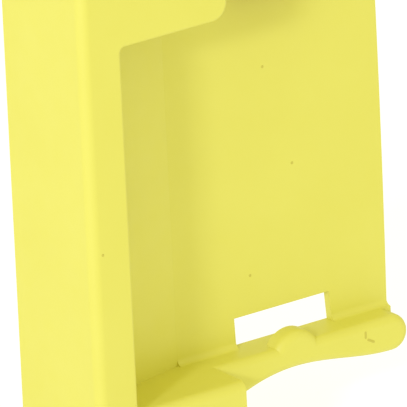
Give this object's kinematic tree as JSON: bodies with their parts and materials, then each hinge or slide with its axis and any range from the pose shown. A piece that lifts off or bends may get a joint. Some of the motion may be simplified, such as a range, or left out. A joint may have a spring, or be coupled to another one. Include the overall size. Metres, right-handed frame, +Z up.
{
  "type": "lockout hasp",
  "caption": "Moulded lockout bracket with an open device bay, a slotted back plate with a nibbed lip, a sprung sliding padlock hasp and a hinged top clip.",
  "frame": {"origin": "middle of the flat base of the C-shaped frame", "axes": "+X along the back plate towards its free edge, +Y from the open front to the rear cover, +Z up, the way the hasp is pulled"},
  "size_m": [0.0952, 0.0344, 0.166],
  "materials": {
    "yellow_nylon": "satin moulded nylon",
    "red_nylon": "satin moulded nylon",
    "black_nylon": "fine moulded grain",
    "white_acetal": "smooth",
    "zinc_steel": "zinc plated",
    "spring_steel": "drawn wire",
    "black_rubber": "matt",
    "label_film": "write-on film, blank"
  },
  "bodies": {
    "frame": {"body_moulding": "yellow_nylon", "rear_cover": "yellow_nylon", "cover_screws": "zinc_steel", "label_panel": "label_film", "upper_slide_guide": "white_acetal", "lower_slide_guide": "white_acetal", "spring_guide_rod": "zinc_steel", "rod_retaining_clip": "spring_steel", "return_spring": "spring_steel", "clip_hinge_pin": "zinc_steel", "pin_caps": "red_nylon"},
    "slide": {"slide_bar": "zinc_steel", "stop_pin": "spring_steel", "blocking_lug": "black_nylon", "spring_seat": "zinc_steel", "slide_rivets": "zinc_steel", "pull_grip": "red_nylon", "grip_pins": "spring_steel"},
    "clip": {"clip_lever": "red_nylon", "jaw_pad": "black_rubber"}
  },
  "joints": [
    {"name": "hasp_slide", "type": "slide", "parent": "frame", "child": "slide", "axis": [0, 0, 1], "range_m": [0, 0.028], "stiffness_N_per_m": 150, "springref_m": -0.02, "deforming": ["return_spring"]},
    {"name": "clip_hinge", "type": "hinge", "parent": "frame", "child": "clip", "pos_m": [0.04475, 0.00505, 0.1145], "axis": [-1, 0, 0], "range_deg": [0, 35]}
  ]
}
